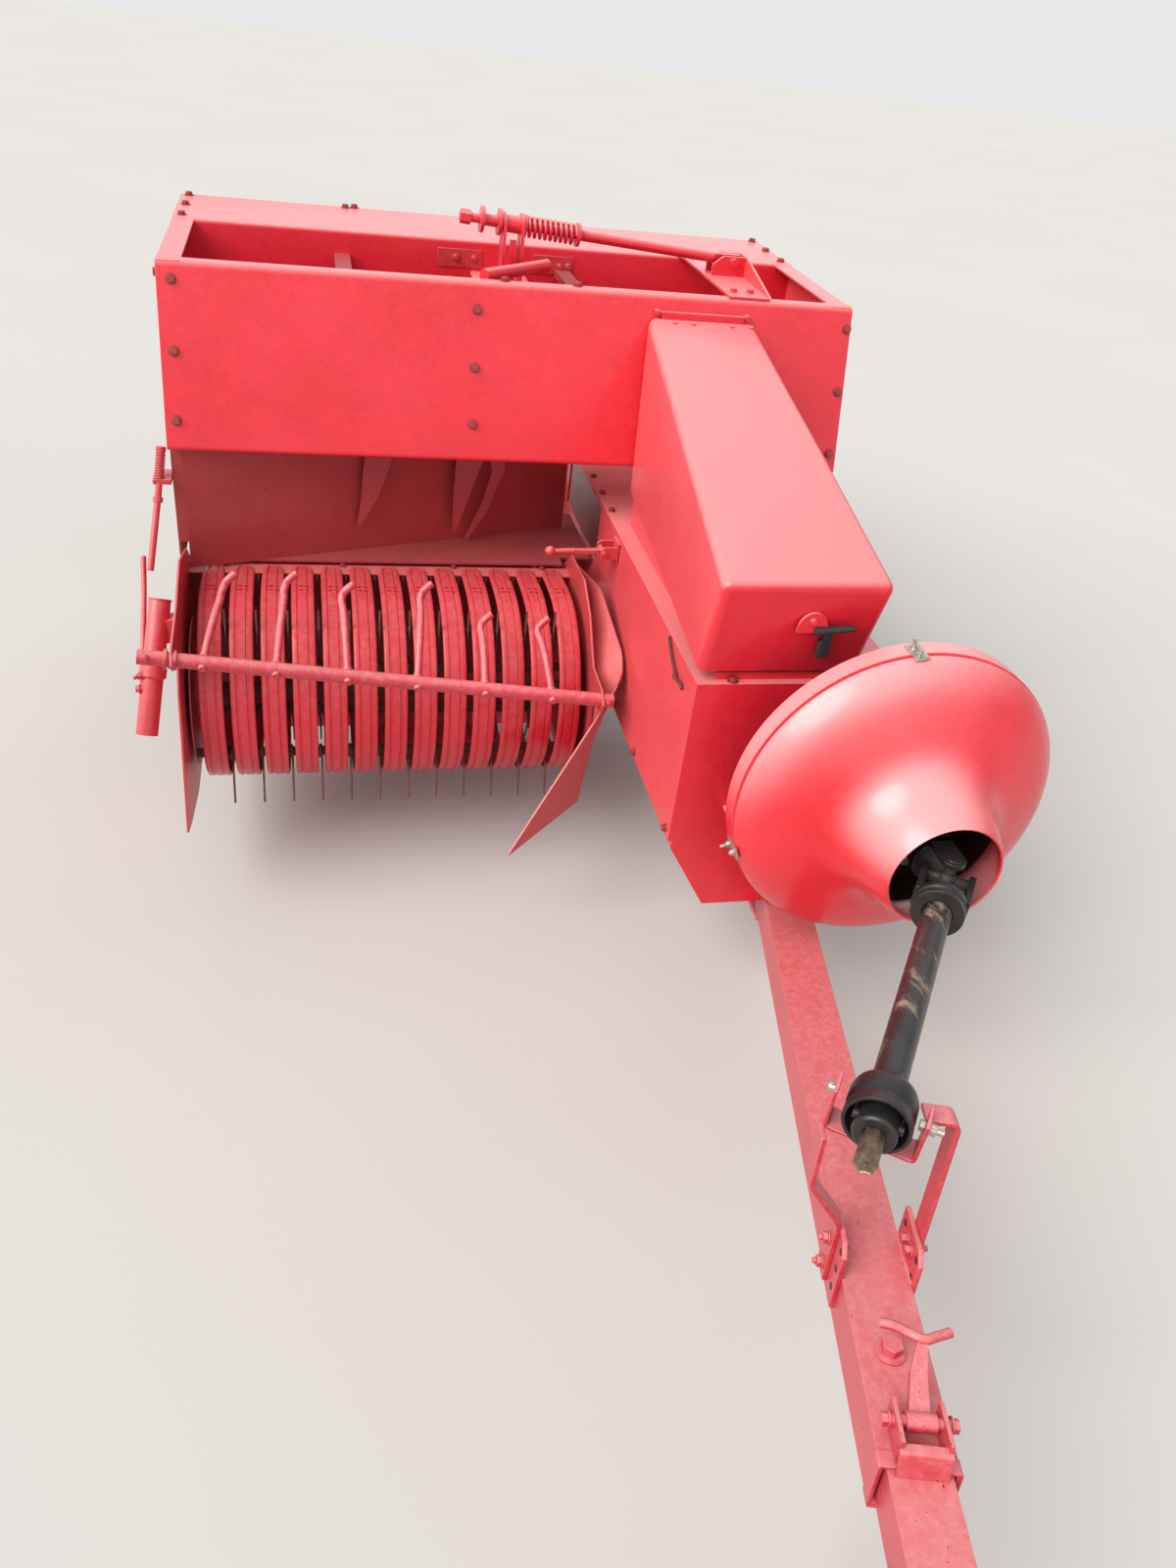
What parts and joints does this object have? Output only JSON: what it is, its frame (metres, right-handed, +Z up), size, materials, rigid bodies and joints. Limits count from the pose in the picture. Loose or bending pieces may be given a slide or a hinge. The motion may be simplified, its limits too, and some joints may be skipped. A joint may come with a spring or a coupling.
{
  "type": "square baler",
  "caption": "Towed small square baler with offset tine pick-up, transverse feeder housing, flywheel cowl, drive shaft on its drawbar cradle, bale chamber and folding chute.",
  "frame": {"origin": "on the floor under the middle of the machine's bounding box", "axes": "+Z up, +Y to the rear along the bale chamber, +X to the machine's left side, so the hitch is at -Y and the pick-up on the right at -X"},
  "size_m": [1.9648, 5.2068, 1.5403],
  "materials": {
    "red_paint": "worn gloss",
    "red_worn": "dusty and scraped",
    "bare_steel": "bright worn steel with rust",
    "black_steel": "chipped black paint",
    "cast_drive": "rough cast",
    "rim_paint": "cream paint, dusty",
    "tyre_rubber": "dusty rubber"
  },
  "bodies": {
    "frame": {"feeder_housing": "red_paint", "feeder_fork": "red_worn", "feed_table": "red_worn", "packer_linkage": "red_paint", "plunger_housing": "red_paint", "bale_chamber": "red_paint", "front_frame": "red_paint", "main_frame": "red_paint", "flywheel_cowl": "red_paint", "input_yoke": "black_steel", "axle": "red_paint", "lift_link": "red_worn", "trip_lever": "red_worn", "needle_yoke": "bare_steel", "knotter_frame": "red_paint", "tension_rails": "red_paint", "twine_box": "red_paint"},
    "plunger": {"plunger": "cast_drive"},
    "cover": {"drive_cover": "red_paint"},
    "flywheel": {"flywheel": "cast_drive"},
    "cross": {"joint_cross": "bare_steel"},
    "shaft": {"drive_shaft": "black_steel"},
    "drawbar": {"drawbar": "red_paint", "hitch_tongue": "red_worn", "shaft_cradle": "red_paint", "drawbar_latch": "red_worn"},
    "stand": {"parking_stand": "red_paint"},
    "right_wheel": {"right_rim": "rim_paint", "right_tyre": "tyre_rubber"},
    "left_wheel": {"left_rim": "rim_paint", "left_tyre": "tyre_rubber"},
    "pickup": {"pickup_frame": "red_paint", "stripper_bands": "red_paint", "crop_divider": "red_worn", "gauge_wheel_socket": "red_paint"},
    "reel": {"tine_reel": "bare_steel"},
    "guard": {"wind_guard": "red_paint"},
    "metering": {"metering_wheel": "bare_steel"},
    "knotter": {"knotter_shaft": "cast_drive"},
    "chute": {"bale_chute": "red_paint"},
    "twine_lid": {"twine_lid": "red_paint"}
  },
  "joints": [
    {"name": "right_wheel_spin", "type": "hinge", "parent": "frame", "child": "right_wheel", "pos_m": [-0.8576, 1.0753, 0.325], "axis": [1, 0, 0], "continuous": true},
    {"name": "left_wheel_spin", "type": "hinge", "parent": "frame", "child": "left_wheel", "pos_m": [0.7824, 1.0753, 0.325], "axis": [1, 0, 0], "continuous": true},
    {"name": "pickup_lift", "type": "hinge", "parent": "frame", "child": "pickup", "pos_m": [-0.3576, 0.2253, 0.62], "axis": [1, 0, 0], "range_deg": [0, 12]},
    {"name": "reel_spin", "type": "hinge", "parent": "pickup", "child": "reel", "pos_m": [-0.3576, -0.1047, 0.45], "axis": [1, 0, 0], "continuous": true},
    {"name": "wind_guard_swing", "type": "hinge", "parent": "pickup", "child": "guard", "pos_m": [-0.9436, -0.4047, 0.718], "axis": [0.9933, 0, -0.1159], "range_deg": [0, 40]},
    {"name": "drawbar_swing", "type": "hinge", "parent": "frame", "child": "drawbar", "pos_m": [0.5684, -0.6747, 0.2], "axis": [0, 0, 1], "range_deg": [0, 14]},
    {"name": "shaft_swing", "type": "hinge", "parent": "frame", "child": "cross", "pos_m": [0.6274, -1.2197, 0.68], "axis": [0, 0, 1], "range_deg": [0, 24.1]},
    {"name": "shaft_lift", "type": "hinge", "parent": "cross", "child": "shaft", "pos_m": [0.6274, -1.2197, 0.68], "axis": [-0.8161, 0.5779, 0], "range_deg": [0, 25]},
    {"name": "stand_fold", "type": "hinge", "parent": "drawbar", "child": "stand", "pos_m": [0.0524, -2.3217, 0.47], "axis": [1, 0, 0], "range_deg": [0, 90]},
    {"name": "cover_lift", "type": "hinge", "parent": "frame", "child": "cover", "pos_m": [0.3884, 0.1103, 1.383], "axis": [-1, 0, 0], "range_deg": [0, 75]},
    {"name": "flywheel_spin", "type": "hinge", "parent": "frame", "child": "flywheel", "pos_m": [0.6274, -0.9597, 0.68], "axis": [0, 1, 0], "continuous": true},
    {"name": "plunger_stroke", "type": "slide", "parent": "frame", "child": "plunger", "axis": [0, 1, 0], "range_m": [0, 0.55]},
    {"name": "metering_spin", "type": "hinge", "parent": "frame", "child": "metering", "pos_m": [0.4424, 1.2453, 0.972], "axis": [1, 0, 0], "continuous": true},
    {"name": "knotter_spin", "type": "hinge", "parent": "frame", "child": "knotter", "pos_m": [0.4344, 1.5553, 1.045], "axis": [1, 0, 0], "continuous": true},
    {"name": "chute_fold", "type": "hinge", "parent": "frame", "child": "chute", "pos_m": [0.4344, 2.0973, 0.486], "axis": [1, 0, 0], "range_deg": [0, 85]},
    {"name": "twine_lid_open", "type": "hinge", "parent": "frame", "child": "twine_lid", "pos_m": [-0.3476, 1.2983, 1.103], "axis": [-1, 0, 0], "range_deg": [0, 100]}
  ],
  "couplings": [
    {"joint": "shaft_swing", "follows": "drawbar_swing", "ratio": 1.72}
  ]
}
